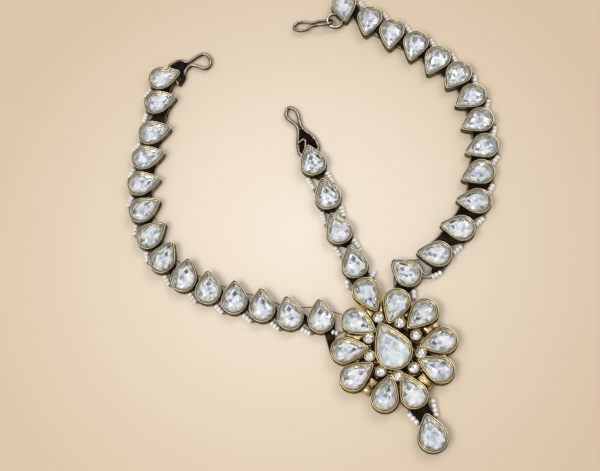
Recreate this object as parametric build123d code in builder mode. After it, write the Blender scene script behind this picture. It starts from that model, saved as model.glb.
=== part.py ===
from build123d import *

import os
from collections import namedtuple
from math import asin, atan2, cos, degrees, hypot, radians, sin, sqrt, tan

os.makedirs("parts", exist_ok=True)

# Head ornament lying flat with its stones up. Millimetres, +Z up, and z = 0 is the surface it lies on.
# The origin is the centre of the flower's back, and +Y runs up the centre strand to its hook.

# ---------------------------------------------------------------- driving dimensions
Cup = namedtuple("Cup", "width length height floor")
STRAND_CUP = Cup(width=10.0, length=13.6, height=3.8, floor=2.3)
PETAL_CUP = Cup(width=10.0, length=14.4, height=4.3, floor=2.8)
DROP_CUP = Cup(width=10.8, length=14.6, height=3.8, floor=2.3)
CENTRE_CUP = Cup(width=13.6, length=19.2, height=5.2, floor=3.4)
WALL = 0.8               # bezel, from the outside to the stone's seat
FLANK_BOW = 2.4          # radius of a cup's flank, in cup widths
FOOT = 0.2               # how far a cup's foot stands proud of its wall
FOOT_HEIGHT = 0.7
FIT = 0.12               # clearance between a stone and its bezel

CROWN_HEIGHT = 1.4       # stone: girdle to table
CENTRE_CROWN_HEIGHT = 2.0
GIRDLE_DEPTH = 0.4       # girdle below the bezel's rim
TABLE_SHARE = 0.58       # table against girdle
CULET_SHARE = 0.75       # underside against girdle
FLANK_FACETS = 3         # facets from the tip to the round end, on each side
ROUND_FACETS = 6         # facets round the round end

THREAD_WIDTH = 0.4
THREAD_LEVEL = 1.05      # height of the threads and of the beads' middles
THREAD_BORE = 0.9        # channel for a thread through a setting
THREAD_ROUNDING = 0.45   # share of a thread's shorter run that a bend may take up
BEAD_WIDTH = 1.9
BEAD_HOLE = 0.8

HOOK_WIRE = 1.35         # left and centre hooks
RIGHT_HOOK_WIRE = 1.15
HOOK_BORE = 1.7          # hole for a hook's wire through a setting
HOOK_LEVEL = 1.1         # height of the two flat hooks' wire
HOOK_BEND = 1.6          # largest radius that rounds a hook's corner
RING_WIRE = 1.2
RING_RADIUS = 3.05
RING_PLAY = 0.3          # groove's width over the ring's wire

# ---------------------------------------------------------------- where the settings lie
# A setting's place is the centre of its round end; its tip points along "tip" (degrees from +X).
# Each row is one step along a strand, from the flower outwards.
Step = namedtuple("Step", "length heading tip")
LEFT_START = (-20.0, 21.3, 72)
LEFT_COURSE = [
    Step(11.5, 150, 79),
    Step(11.0, 140, 71),
    Step(11.0, 140, 68),
    Step(10.8, 135, 70),
    Step(10.8, 129, 55),
    Step(11.5, 116, 40),
    Step(11.2, 97, 19),
    Step(11.3, 85, 7),
    Step(11.2, 73, -10),
    Step(11.0, 61, -9),
    Step(10.8, 56, -9),
    Step(13.3, 60, -6),
    Step(10.8, 60, -6),
]
RIGHT_START = (16.5, 24.2, 114)
RIGHT_COURSE = [
    Step(13.7, 11, 151),
    Step(13.4, 25, 145),
    Step(12.4, 36, 151),
    Step(12.0, 58, 177),
    Step(10.9, 57, 176),
    Step(11.0, 74, 181),
    Step(10.7, 80, 188),
    Step(11.2, 94, 208),
    Step(10.7, 116, 216),
    Step(11.0, 117, 230),
    Step(11.0, 126, 238),
    Step(10.8, 121, 234),
    Step(12.6, 124, 254),
]
CENTRE_START = (-0.3, 35.5, 80)
CENTRE_COURSE = [
    Step(14.7, 90, 90),
    Step(14.7, 84, 83),
    Step(15.2, 89, 84),
]
DROP_PLACE = (-0.5, -34.4, 81)

# flower: nine petals on a ring, tips inwards; "lean" turns a petal from straight inwards
Petal = namedtuple("Petal", "bearing lean")
PETALS = [
    Petal(63, -16),
    Petal(28, -7),
    Petal(-13, 3),
    Petal(-48, -2),
    Petal(-91, 6),
    Petal(-125, -5),
    Petal(-169, 1),
    Petal(157, 5),
    Petal(119, 8),
]
PETAL_RING = 18.2
TOP_PETAL = (-0.5, 24.8, -87)
CENTRE_PLACE = (-0.5, -0.8, 92)
BACK_RADIUS = 17.5
BACK_THICKNESS = 1.4

# raised web that joins the petal cups; at the top it reaches out on both sides of the top petal
WEB_OUTER = 19.0
WEB_INNER = 12.6
WEB_HEIGHT = 3.2
TOP_WEB = [(-8.2, 20.4), (-8.2, 15.0), (5.2, 15.0), (5.2, 21.6)]

# small round stones round the centre stone, one in each gap between two petals
Accent = namedtuple("Accent", "bearing radius")
ACCENTS = [
    Accent(92, 13.3),
    Accent(54, 10.2),
    Accent(10, 9.5),
    Accent(-32, 9.7),
    Accent(-68, 9.8),
    Accent(-107, 9.8),
    Accent(-145, 9.5),
    Accent(172, 9.3),
    Accent(132, 10.2),
]
ACCENT_CUP = 4.2
ACCENT_STONE = 3.4
ACCENT_HEIGHT = 4.4
ACCENT_FLOOR = 3.0
ACCENT_FACETS = 8
ACCENT_TABLE = 0.55
ACCENT_BELT = 0.9
ACCENT_CROWN = 1.1
UPRIGHT = 90             # a place whose own axes are the ornament's

# hooks: the bent wire's corners
LEFT_HOOK = [
    (-34.5, 134.5), (-31.2, 137.0), (-30.2, 139.7), (-27.6, 141.5), (-25.6, 141.2), (-21.4, 136.6),
    (-18.2, 139.4), (-19.4, 144.4), (-23.6, 143.9), (-27.6, 142.9), (-30.0, 145.6), (-35.4, 145.2),
]
CENTRE_HOOK = [
    (-2.0, 85.6), (-0.7, 91.0), (2.0, 96.4), (1.9, 99.0), (-0.8, 104.2),
    (2.2, 107.8), (4.7, 104.2), (3.5, 99.0), (3.5, 96.4), (6.4, 91.0), (6.4, 84.8),
]
# right hook in its own plane: along the hook from its foot, and across it
RIGHT_HOOK = [
    (0.0, 1.3), (1.6, 2.2), (5.4, 1.7), (8.2, 0.7), (10.6, 2.4), (14.4, 2.2), (15.6, 0.0),
    (14.4, -2.2), (10.6, -2.4), (8.2, -0.7), (5.4, -1.7), (1.6, -2.2), (0.0, -1.3),
]
RIGHT_HOOK_FOOT = (32.4, 134.6, 2.1)
RIGHT_HOOK_HEADING = 162.6
RIGHT_HOOK_ROLL = 38
RIGHT_RING_CENTRE = (33.8, 134.6, 1.6)
RIGHT_RING_TILT = 9.5

# outer thread of a side strand: angles round a setting's round end, from the line to its neighbour
LEAVE_ANGLE = 44
ARRIVE_ANGLE = 68        # at a spacing of ARRIVE_SPACING
ARRIVE_SPACING = 11.0
ARRIVE_EASE = 10         # less for each millimetre of wider spacing
ENTER_STEP = 8           # on from there to the bore
ARRIVE_REACH = 6.1       # where it lies against the next setting, from that one's round end's centre
BORE_SPAN = 76           # from a bore's entry to its exit, seen from the round end's centre
LEFT_LAST_LEAVE = -77    # where it leaves the left strand's first setting for the flower
RIGHT_FIRST_ENTER = -94  # where it enters the right strand's first setting
THREAD_END = 1.0         # its end, inside the last bore's mouth
LEFT_NOTCH = (-15.6, 14.1)
LEFT_OUTER_ANCHOR = (-11.8, 14.8)
RIGHT_NOTCH = (14.6, 14.4)
RIGHT_SAG = (23.2, 19.9)     # the wide gap after its first setting: where the thread hangs out
RIGHT_SAG_END = (28.9, 20.5)
RIGHT_SAG_ENTER = 275
RIGHT_OUTER_ANCHOR = (15.6, 11.2)

# tip thread of a side strand
TIP_BORE_Y = 4.8         # its bore, from the round end's centre towards the tip
TIP_BORE_REACH = 3.9     # half of the bore's length
END_BORE_X = 1.0         # its end in the strand's last setting
END_BORE_Y = 2.6
LEFT_TIP_ANCHOR = (-10.2, 18.6)
RIGHT_TIP_ANCHOR = (9.2, 19.4)

# centre strand: one thread on each side of its settings, from the flower up
SIDE_BORE_X = 3.9        # bores, each side of the long axis, and where each starts and ends along it
SIDE_BORE_LOW = -3.2
SIDE_BORE_HIGH = 3.6
SIDE_BORE_END = 1.5      # thread's end in the last setting
CENTRE_LEADS = {-1: [(-3.5, 26.2), (-6.3, 28.9)], 1: [(2.5, 26.4), (4.9, 28.7)]}

# drop: one thread from the flower, through the drop's tip and back
DROP_BORE_X = 2.4
DROP_BORE_Y = 5.8
DROP_LEFT_LEAD = [(-2.9, -19.9), (-4.9, -22.5), (-3.1, -27.9)]
DROP_RIGHT_LEAD = [(3.8, -28.1), (5.4, -21.4), (2.5, -19.6)]

# beads: how far their runs stop short of a bend of their thread, or of a setting's wall
BEAD_START = 0.75        # from the setting that the thread leaves
BEAD_STOP = 0.7          # from the bend where it lies against the next one
END_BEAD_START = 0.9     # at the flower and in the right strand's wide gap: from the wall
END_BEAD_STOP = 0.8      # and from the bend
DROP_BEAD_STOP = 0.7     # drop: from both bends
SIDE_BEADS_LOW = 2.9     # centre strand: from the bore below
SIDE_BEADS_HIGH = 2.1    # and from the bore above
BLIND_END = 0.4          # how far a thread's channel runs on past the thread's ends


# ---------------------------------------------------------------- geometry helpers
def polar(centre, radius, angle):
    return (centre[0] + radius * cos(radians(angle)), centre[1] + radius * sin(radians(angle)))


def bearing(start, end):
    return degrees(atan2(end[1] - start[1], end[0] - start[0]))


def place_plane(place, level=0.0):
    """Plane of a setting: origin at the centre of its round end, +Y towards its tip."""
    x, y, tip = place
    across = radians(tip - 90)
    return Plane(origin=(x, y, level), x_dir=(cos(across), sin(across), 0), z_dir=(0, 0, 1))


def in_place(place, x, y):
    """Where a setting's own (x, y) lies in the ornament, as (x, y)."""
    spot = place_plane(place).from_local_coords(Vector(x, y, 0))
    return (spot.X, spot.Y)


def walk(start, course):
    """Places of a strand's settings: the first one, then one for each step."""
    places = [start]
    for step in course:
        x, y = polar(places[-1], step.length, step.heading)
        places.append((x, y, step.tip))
    return places


def pear_arcs(cup, inset):
    """Arcs of a pear inside its edge by the inset: point on the flank, the flank's swing, end radius."""
    end_radius = cup.width / 2
    reach = cup.length - end_radius
    flank = FLANK_BOW * cup.width
    hub = flank - end_radius
    swing = asin((2 * flank * end_radius - end_radius**2 - reach**2) / (2 * reach * hub))
    hub_x = hub * cos(swing)
    hub_y = hub * sin(swing)
    tip_y = sqrt((flank - inset) ** 2 - hub_x**2) - hub_y
    tip_angle = atan2(tip_y + hub_y, hub_x)

    def on_flank(share):
        angle = swing + share * (tip_angle - swing)
        return ((flank - inset) * cos(angle) - hub_x, (flank - inset) * sin(angle) - hub_y)

    return on_flank, degrees(swing), end_radius - inset


def pear_face(plane, cup, inset=0.0):
    """Pear outline: a round end of one arc and two slightly bowed flanks that meet in the tip."""
    on_flank, swing, end_radius = pear_arcs(cup, inset)
    side, middle, tip = on_flank(0), on_flank(0.5), on_flank(1)
    with BuildSketch(plane) as outline:
        with BuildLine():
            ThreePointArc(side, middle, tip)
            ThreePointArc(tip, (-middle[0], middle[1]), (-side[0], side[1]))
            ThreePointArc((-side[0], side[1]), (0, -end_radius), side)
        make_face()
    return outline.sketch


def pear_corners(cup, inset):
    """Corners of a cut stone's girdle, from its tip round the left side and back."""
    on_flank, swing, end_radius = pear_arcs(cup, inset)
    right = [on_flank(k / FLANK_FACETS) for k in range(FLANK_FACETS)]
    left = [(-x, y) for x, y in right]
    turn = (180 + 2 * swing) / ROUND_FACETS
    bottom = [polar((0, 0), end_radius, 180 - swing + k * turn) for k in range(1, ROUND_FACETS)]
    return [on_flank(1)] + left[::-1] + bottom + right


def facet_face(plane, corners, share):
    with BuildSketch(plane) as outline:
        with BuildLine():
            Polyline([(x * share, y * share) for x, y in corners], close=True)
        make_face()
    return outline.sketch


def cut_stone(place, corners, seat, belt, crown, table_share):
    """Cut stone on its seat: a stepped underside, a crown of flat facets and a table."""
    underside = facet_face(place_plane(place, seat), corners, CULET_SHARE)
    girdle = facet_face(place_plane(place, seat + belt), corners, 1)
    table = facet_face(place_plane(place, seat + belt + crown), corners, table_share)
    with BuildPart() as stone:
        loft(sections=[underside, girdle], ruled=True)
        loft(sections=[girdle, table], ruled=True)
    return stone.part


def pear_stone(place, cup, crown=CROWN_HEIGHT):
    belt = cup.height - GIRDLE_DEPTH - cup.floor - FIT
    return cut_stone(place, pear_corners(cup, WALL + FIT), cup.floor + FIT, belt, crown, TABLE_SHARE)


def cup_body(place, cup):
    """Outside of a pear cup, with the foot that it stands on."""
    with BuildPart() as body:
        extrude(pear_face(place_plane(place), cup), amount=cup.height)
        extrude(pear_face(place_plane(place), cup, -FOOT), amount=FOOT_HEIGHT)
    return body.part


def cup_seat(place, cup):
    """Space inside a pear cup, above its floor."""
    with BuildPart() as seat:
        extrude(pear_face(place_plane(place, cup.floor), cup, WALL), amount=cup.height)
    return seat.part


def straight_bore(start, end, width, level):
    with BuildPart() as bore:
        run = Vector(*end, level) - Vector(*start, level)
        with BuildSketch(Plane(origin=(*start, level), z_dir=run)):
            Circle(width / 2)
        extrude(amount=run.length)
    return bore.part


def distance(start, end):
    return hypot(end[0] - start[0], end[1] - start[1])


def corner_radii(points):
    """Radius at each inner point of a route: as large as its two straight runs allow."""
    radii = []
    for before, here, after in zip(points, points[1:], points[2:]):
        turn = abs((bearing(here, after) - bearing(before, here) + 180) % 360 - 180)
        shorter = min(distance(before, here), distance(here, after))
        radii.append(THREAD_ROUNDING * shorter / tan(radians(turn) / 2))
    return radii


def round_tube(route, width):
    with BuildPart() as tube:
        with BuildLine() as path:
            FilletPolyline([(x, y, THREAD_LEVEL) for x, y in route], radius=corner_radii(route))
        with BuildSketch(Plane(origin=path.line @ 0, z_dir=path.line % 0)):
            Circle(width / 2)
        sweep()
    return tube.part


def bead_tube(start, end):
    """A run of beads as one drilled tube."""
    with BuildPart() as tube:
        run = Vector(*end, THREAD_LEVEL) - Vector(*start, THREAD_LEVEL)
        with BuildSketch(Plane(origin=(*start, THREAD_LEVEL), z_dir=run)):
            Circle(BEAD_WIDTH / 2)
            Circle(BEAD_HOLE / 2, mode=Mode.SUBTRACT)
        extrude(amount=run.length)
    return tube.part


def along(start, end, step):
    """Point on the line from start to end: a step past the start, or before it if negative."""
    share = step / distance(start, end)
    return (start[0] + share * (end[0] - start[0]), start[1] + share * (end[1] - start[1]))


def save(part, name):
    part.label = name
    export_step(part, f"parts/{name}.step")


# ---------------------------------------------------------------- places
left_places = walk(LEFT_START, LEFT_COURSE)
right_places = walk(RIGHT_START, RIGHT_COURSE)
centre_places = walk(CENTRE_START, CENTRE_COURSE)
petal_places = []
for petal in PETALS:
    petal_places.append((*polar((0, 0), PETAL_RING, petal.bearing), petal.bearing + 180 + petal.lean))
petal_places.append(TOP_PETAL)
accent_places = [polar((0, 0), accent.radius, accent.bearing) for accent in ACCENTS]

# ---------------------------------------------------------------- threads, and the beads on them
OuterRun = namedtuple("OuterRun", "enters leaves arrives")


def arrive_angle(here, there):
    spacing = hypot(there[0] - here[0], there[1] - here[1])
    return ARRIVE_ANGLE - ARRIVE_EASE * (spacing - ARRIVE_SPACING)


def outer_run(places, first_enter, last_leave):
    """Where the outer thread enters and leaves each setting, and lies against the next one's wall."""
    wall = STRAND_CUP.width / 2
    enters = [polar(places[0], wall, first_enter)]
    leaves = []
    arrives = []
    for here, there in zip(places, places[1:]):
        heading = bearing(here, there)
        leaves.append(polar(here, wall, heading - LEAVE_ANGLE))
        arrive = heading + 180 + arrive_angle(here, there)
        arrives.append(polar(there, ARRIVE_REACH, arrive))
        enters.append(polar(there, wall, arrive + ENTER_STEP))
    leaves.append(polar(places[-1], wall, last_leave))
    return OuterRun(enters, leaves, arrives)


def outer_route(run):
    route = [run.enters[0], run.leaves[0]]
    for arrive, enter, leave in zip(run.arrives, run.enters[1:], run.leaves[1:]):
        route += [arrive, enter, leave]
    return route


def tip_bores(start, places, end):
    """Ends of the tip thread's bore in each setting; each bore points from its neighbour to the next."""
    middles = [start] + [in_place(place, 0, TIP_BORE_Y) for place in places] + [end]
    bores = []
    for before, here, after in zip(middles, middles[1:], middles[2:]):
        heading = bearing(before, after)
        bores.append((polar(here, TIP_BORE_REACH, heading + 180), polar(here, TIP_BORE_REACH, heading)))
    return bores


# side strands are followed with their tips on the left: down the left one and up the right one
left_down = left_places[::-1]
first_leave = bearing(left_down[0], left_down[1]) - LEAVE_ANGLE
left_run = outer_run(left_down, first_leave - BORE_SPAN, LEFT_LAST_LEAVE)
last_enter = bearing(*right_places[-2:]) + 180 + arrive_angle(*right_places[-2:]) + ENTER_STEP
right_run = outer_run(right_places, RIGHT_FIRST_ENTER, last_enter + BORE_SPAN)
right_run.arrives[0] = RIGHT_SAG_END
right_run.enters[1] = polar(right_places[1], STRAND_CUP.width / 2, RIGHT_SAG_ENTER)

left_outer_route = outer_route(left_run) + [LEFT_NOTCH, LEFT_OUTER_ANCHOR]
left_outer_route[0] = along(left_run.enters[0], left_run.leaves[0], THREAD_END)
right_outer_route = [RIGHT_OUTER_ANCHOR, RIGHT_NOTCH] + outer_route(right_run)
right_outer_route.insert(right_outer_route.index(RIGHT_SAG_END), RIGHT_SAG)
right_outer_route[-1] = along(right_run.leaves[-1], right_run.enters[-1], THREAD_END)

left_end = in_place(left_down[0], END_BORE_X, END_BORE_Y)
left_tip_bores = tip_bores(left_end, left_down[1:], LEFT_TIP_ANCHOR)
left_tip_route = [left_end] + [point for bore in left_tip_bores for point in bore] + [LEFT_TIP_ANCHOR]

right_end = in_place(right_places[-1], -END_BORE_X, END_BORE_Y)
right_tip_bores = tip_bores(RIGHT_TIP_ANCHOR, right_places[:-1], right_end)
right_tip_route = [RIGHT_TIP_ANCHOR] + [point for bore in right_tip_bores for point in bore] + [right_end]


def centre_route(side):
    route = list(CENTRE_LEADS[side])
    for place in centre_places[:-1]:
        route.append(in_place(place, side * SIDE_BORE_X, SIDE_BORE_LOW))
        route.append(in_place(place, side * SIDE_BORE_X, SIDE_BORE_HIGH))
    route.append(in_place(centre_places[-1], side * SIDE_BORE_X, SIDE_BORE_LOW))
    route.append(in_place(centre_places[-1], side * SIDE_BORE_X, SIDE_BORE_END))
    return route


centre_routes = {-1: centre_route(-1), 1: centre_route(1)}

drop_bore = [in_place(DROP_PLACE, side * DROP_BORE_X, DROP_BORE_Y) for side in (-1, 1)]
drop_route = DROP_LEFT_LEAD + drop_bore + DROP_RIGHT_LEAD


def channel(route):
    """Space that a thread needs in the settings it passes through."""
    first = along(route[0], route[1], -BLIND_END)
    last = along(route[-1], route[-2], -BLIND_END)
    return round_tube([first] + route[1:-1] + [last], THREAD_BORE)


def save_beads(name, runs):
    """Bead runs of one strand; each run is a drilled tube."""
    with BuildPart() as beads:
        for start, end in runs:
            add(bead_tube(start, end))
    save(beads.part, name)


thread_routes = {
    "left_outer_thread": left_outer_route,
    "left_tip_thread": left_tip_route,
    "right_outer_thread": right_outer_route,
    "right_tip_thread": right_tip_route,
    "centre_left_thread": centre_routes[-1],
    "centre_right_thread": centre_routes[1],
    "drop_thread": drop_route,
}
channels = {}
for name, route in thread_routes.items():
    save(round_tube(route, THREAD_WIDTH), name)
    channels[name] = channel(route)


def trimmed(start, end, off_start, off_end):
    """Ends of a bead run on the thread from start to end, cut short at both."""
    return (along(start, end, off_start), along(end, start, off_end))


left_runs = [trimmed(*ends, BEAD_START, BEAD_STOP) for ends in zip(left_run.leaves, left_run.arrives)]
left_runs.append(trimmed(left_run.leaves[-1], LEFT_NOTCH, END_BEAD_START, END_BEAD_STOP))
right_ends = list(zip(right_run.leaves, right_run.arrives))[1:]
right_runs = [trimmed(*ends, BEAD_START, BEAD_STOP) for ends in right_ends]
right_runs.append(trimmed(RIGHT_SAG, RIGHT_SAG_END, END_BEAD_START, END_BEAD_STOP))
right_runs.append(trimmed(RIGHT_NOTCH, right_run.enters[0], END_BEAD_STOP, END_BEAD_START))
centre_runs = []
for route in centre_routes.values():
    centre_runs.append(trimmed(route[1], route[2], END_BEAD_START, SIDE_BEADS_HIGH))
    for low, high in zip(route[3::2], route[4::2]):
        centre_runs.append(trimmed(low, high, SIDE_BEADS_LOW, SIDE_BEADS_HIGH))
drop_runs = []
for start, end in (DROP_LEFT_LEAD[1:], DROP_RIGHT_LEAD[:2]):
    drop_runs.append(trimmed(start, end, DROP_BEAD_STOP, DROP_BEAD_STOP))
save_beads("left_beads", left_runs)
save_beads("right_beads", right_runs)
save_beads("centre_beads", centre_runs)
save_beads("drop_beads", drop_runs)


# ---------------------------------------------------------------- hooks and ring
def wire_loop(plane, corners, wire):
    """Closed loop of round wire through the corners, which are rounded."""
    wrapped = [corners[-1]] + corners + [corners[0]]
    with BuildPart() as loop:
        with BuildLine(plane) as path:
            FilletPolyline(corners, radius=[min(HOOK_BEND, r) for r in corner_radii(wrapped)], close=True)
        with BuildSketch(Plane(origin=path.line @ 0, z_dir=path.line % 0)):
            Circle(wire / 2)
        sweep()
    return loop.part


flat_hook_plane = Plane.XY.offset(HOOK_LEVEL)
save(wire_loop(flat_hook_plane, LEFT_HOOK, HOOK_WIRE), "left_hook")
save(wire_loop(flat_hook_plane, CENTRE_HOOK, HOOK_WIRE), "centre_hook")

# the right hook is rolled over, so that one arm passes over the ring and the other under it
hook_x = cos(radians(RIGHT_HOOK_HEADING))
hook_y = sin(radians(RIGHT_HOOK_HEADING))
roll = radians(RIGHT_HOOK_ROLL)
rolled = (hook_y * sin(roll), -hook_x * sin(roll), cos(roll))
right_hook_plane = Plane(origin=RIGHT_HOOK_FOOT, x_dir=(hook_x, hook_y, 0), z_dir=rolled)
save(wire_loop(right_hook_plane, RIGHT_HOOK, RIGHT_HOOK_WIRE), "right_hook")

# the ring lies in the last setting's floor on one side, and leans up onto the hook on the other
tilt = radians(RIGHT_RING_TILT)
tilted = (-hook_x * sin(tilt), -hook_y * sin(tilt), cos(tilt))
ring_plane = Plane(origin=RIGHT_RING_CENTRE, z_dir=tilted)


def ring_of(wire):
    with BuildPart(ring_plane) as ring:
        Torus(RING_RADIUS, wire / 2)
    return ring.part


save(ring_of(RING_WIRE), "right_ring")


# ---------------------------------------------------------------- settings
def save_setting(name, place, cup, openings):
    """Pear cup with its seat, and the openings that thread, hook or ring passes through."""
    with BuildPart() as setting:
        add(cup_body(place, cup))
        add(cup_seat(place, cup), mode=Mode.SUBTRACT)
        for opening in openings:
            add(opening, mode=Mode.SUBTRACT)
    save(setting.part, name)


# strands, numbered from the flower outwards
for index, place in enumerate(left_places):
    openings = [channels["left_outer_thread"], channels["left_tip_thread"]]
    if place is left_places[-1]:
        openings.append(straight_bore(LEFT_HOOK[0], LEFT_HOOK[-1], HOOK_BORE, HOOK_LEVEL))
    save_setting(f"left_setting_{index + 1:02d}", place, STRAND_CUP, openings)

for index, place in enumerate(right_places):
    openings = [channels["right_outer_thread"], channels["right_tip_thread"]]
    if place is right_places[-1]:
        openings.append(ring_of(RING_WIRE + RING_PLAY))
    save_setting(f"right_setting_{index + 1:02d}", place, STRAND_CUP, openings)

for index, place in enumerate(centre_places):
    openings = [channels["centre_left_thread"], channels["centre_right_thread"]]
    if place is centre_places[-1]:
        openings.append(straight_bore(CENTRE_HOOK[0], CENTRE_HOOK[-1], HOOK_BORE, HOOK_LEVEL))
    save_setting(f"centre_setting_{index + 1}", place, STRAND_CUP, openings)

save_setting("drop_setting", DROP_PLACE, DROP_CUP, [channels["drop_thread"]])

# flower: a round back and its web, nine petal cups and a top one, the centre cup and the small round cups
UPWARDS = (Align.CENTER, Align.CENTER, Align.MIN)
with BuildPart() as flower_setting:
    Cylinder(BACK_RADIUS, BACK_THICKNESS, align=UPWARDS)
    with BuildSketch():
        Circle(WEB_OUTER)
        with BuildLine():
            Polyline(TOP_WEB, close=True)
        make_face()
        Circle(WEB_INNER, mode=Mode.SUBTRACT)
    extrude(amount=WEB_HEIGHT)
    for place in petal_places:
        add(cup_body(place, PETAL_CUP))
    add(cup_body(CENTRE_PLACE, CENTRE_CUP))
    with Locations(*accent_places):
        Cylinder(ACCENT_CUP / 2, ACCENT_HEIGHT, align=UPWARDS)
    for place in petal_places:
        add(cup_seat(place, PETAL_CUP), mode=Mode.SUBTRACT)
    add(cup_seat(CENTRE_PLACE, CENTRE_CUP), mode=Mode.SUBTRACT)
    with Locations(*[(x, y, ACCENT_FLOOR) for x, y in accent_places]):
        Cylinder(ACCENT_STONE / 2 + FIT, ACCENT_HEIGHT, align=UPWARDS, mode=Mode.SUBTRACT)
    for thread_channel in channels.values():
        add(thread_channel, mode=Mode.SUBTRACT)
save(flower_setting.part, "flower_setting")


# ---------------------------------------------------------------- stones
def save_stones(name, stones):
    with BuildPart() as field:
        for stone in stones:
            add(stone)
    save(field.part, name)


save_stones("left_stones", [pear_stone(place, STRAND_CUP) for place in left_places])
save_stones("right_stones", [pear_stone(place, STRAND_CUP) for place in right_places])
save_stones("centre_stones", [pear_stone(place, STRAND_CUP) for place in centre_places])
save_stones("petal_stones", [pear_stone(place, PETAL_CUP) for place in petal_places])
save_stones("flower_centre_stone", [pear_stone(CENTRE_PLACE, CENTRE_CUP, crown=CENTRE_CROWN_HEIGHT)])
save_stones("drop_stone", [pear_stone(DROP_PLACE, DROP_CUP)])

accent_corners = [polar((0, 0), ACCENT_STONE / 2, k * 360 / ACCENT_FACETS) for k in range(ACCENT_FACETS)]
save_stones("accent_stones", [
    cut_stone((x, y, UPRIGHT), accent_corners, ACCENT_FLOOR + FIT, ACCENT_BELT, ACCENT_CROWN, ACCENT_TABLE)
    for x, y in accent_places
])
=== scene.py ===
import random
from collections import namedtuple
from math import asin, atan2, cos, degrees, hypot, pi, radians, sin, sqrt

import bpy
import numpy as np
from mathutils import Matrix, Vector, noise


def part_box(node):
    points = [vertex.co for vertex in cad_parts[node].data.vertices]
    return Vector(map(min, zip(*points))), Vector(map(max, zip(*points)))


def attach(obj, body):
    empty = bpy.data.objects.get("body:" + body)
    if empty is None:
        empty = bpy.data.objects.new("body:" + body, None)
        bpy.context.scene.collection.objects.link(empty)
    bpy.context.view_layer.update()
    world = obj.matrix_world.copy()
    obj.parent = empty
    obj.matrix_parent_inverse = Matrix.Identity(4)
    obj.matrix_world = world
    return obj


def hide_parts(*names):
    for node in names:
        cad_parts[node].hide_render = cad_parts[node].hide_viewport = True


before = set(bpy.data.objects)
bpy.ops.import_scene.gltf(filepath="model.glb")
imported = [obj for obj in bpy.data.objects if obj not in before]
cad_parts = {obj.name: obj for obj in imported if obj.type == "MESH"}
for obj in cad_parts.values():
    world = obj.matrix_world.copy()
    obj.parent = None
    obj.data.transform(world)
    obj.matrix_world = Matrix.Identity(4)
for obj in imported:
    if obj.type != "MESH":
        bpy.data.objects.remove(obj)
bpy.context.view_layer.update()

# Lengths are in millimetres, and meshes are written in metres. The camera's clipping, the lights, the
# floor's reach and level and the materials' textures are given in metres.
MM = 0.001

# -------------------- sizes shared with the solids
Cup = namedtuple("Cup", "width length height floor")
STRAND_CUP = Cup(width=10.0, length=13.6, height=3.8, floor=2.3)
PETAL_CUP = Cup(width=10.0, length=14.4, height=4.3, floor=2.8)
DROP_CUP = Cup(width=10.8, length=14.6, height=3.8, floor=2.3)
CENTRE_CUP = Cup(width=13.6, length=19.2, height=5.2, floor=3.4)
FLANK_BOW = 2.4
GIRDLE_INSET = 0.92      # stone's girdle, inside the cup's edge
GIRDLE_DEPTH = 0.4       # and below its rim
STONE_PLAY = 0.12
CROWN_HEIGHT = 1.4
CENTRE_CROWN_HEIGHT = 2.0
BACK_RADIUS = 17.5
BACK_THICKNESS = 1.4
ACCENT_RADIUS = 2.1
ACCENT_STONE_RADIUS = 1.8    # 0.1 more than in the solids
ACCENT_HEIGHT = 4.4
ACCENT_FLOOR = 3.0
ACCENT_GIRDLE = 4.02
ACCENT_CROWN = 1.1
ACCENT_CROWN_SHARE = 0.9     # how much of that crown the scene's stones have


def add_object(name, data):
    thing = bpy.data.objects.new(name, data)
    bpy.context.scene.collection.objects.link(thing)
    return thing


# -------------------- camera
CAMERA_LENS = 70.8
CAMERA_PLACE = (-34.4, -96.5, 422.9)
CAMERA_AIM = (-14.3, 56.1, 0.0)
CAMERA_ROLL = -16.0

camera_data = bpy.data.cameras.new("camera")
camera_data.lens = CAMERA_LENS
camera_data.sensor_width = 36.0
camera_data.clip_start = 0.01
camera_data.clip_end = 10.0
camera = add_object("camera", camera_data)
view_line = Vector(CAMERA_AIM) - Vector(CAMERA_PLACE)
turn = view_line.to_track_quat("-Z", "Y").to_matrix().to_4x4()
stand = Matrix.Translation(Vector(CAMERA_PLACE) * MM)
camera.matrix_world = stand @ turn @ Matrix.Rotation(radians(CAMERA_ROLL), 4, "Z")
bpy.context.scene.camera = camera


# -------------------- meshes
class Shape:
    """Points, faces and their values of a mesh that is built up from several forms, in millimetres."""

    def __init__(self):
        self.points, self.faces = [], []
        self.grime, self.slots, self.tint, self.shade = [], [], [], []

    def add(self, points, faces, grime=None, slots=None, tint=None, shade=None):
        start = len(self.points)
        self.points.extend(points)
        self.faces.extend([tuple(start + k for k in face) for face in faces])
        self.grime.extend(grime or [0.0] * len(points))
        self.slots.extend(slots or [0] * len(faces))
        self.tint.extend(tint or [(1.0, 1.0, 1.0)] * len(points))
        self.shade.extend(shade or [1.0] * len(faces))

    def piece(self, name, materials, smooth=True, sharp=40, tinted=False):
        """Mesh object in metres that rides on the one body; edges steeper than sharp degrees stay sharp."""
        mesh = bpy.data.meshes.new(name)
        mesh.from_pydata([(x * MM, y * MM, z * MM) for x, y, z in self.points], [], self.faces)
        for material in materials:
            mesh.materials.append(material)
        mesh.polygons.foreach_set("material_index", self.slots)
        mesh.attributes.new("grime", "FLOAT", "POINT").data.foreach_set("value", self.grime)
        if tinted:
            values = [value for colour in self.tint for value in (*colour, 1.0)]
            mesh.attributes.new("tint", "FLOAT_COLOR", "POINT").data.foreach_set("color", values)
            mesh.attributes.new("shade", "FLOAT", "FACE").data.foreach_set("value", self.shade)
        mesh.polygons.foreach_set("use_smooth", [smooth] * len(mesh.polygons))
        if smooth:
            mesh.set_sharp_from_angle(angle=radians(sharp))
        mesh.validate()
        piece = add_object(name, mesh)
        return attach(piece, "root")


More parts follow.
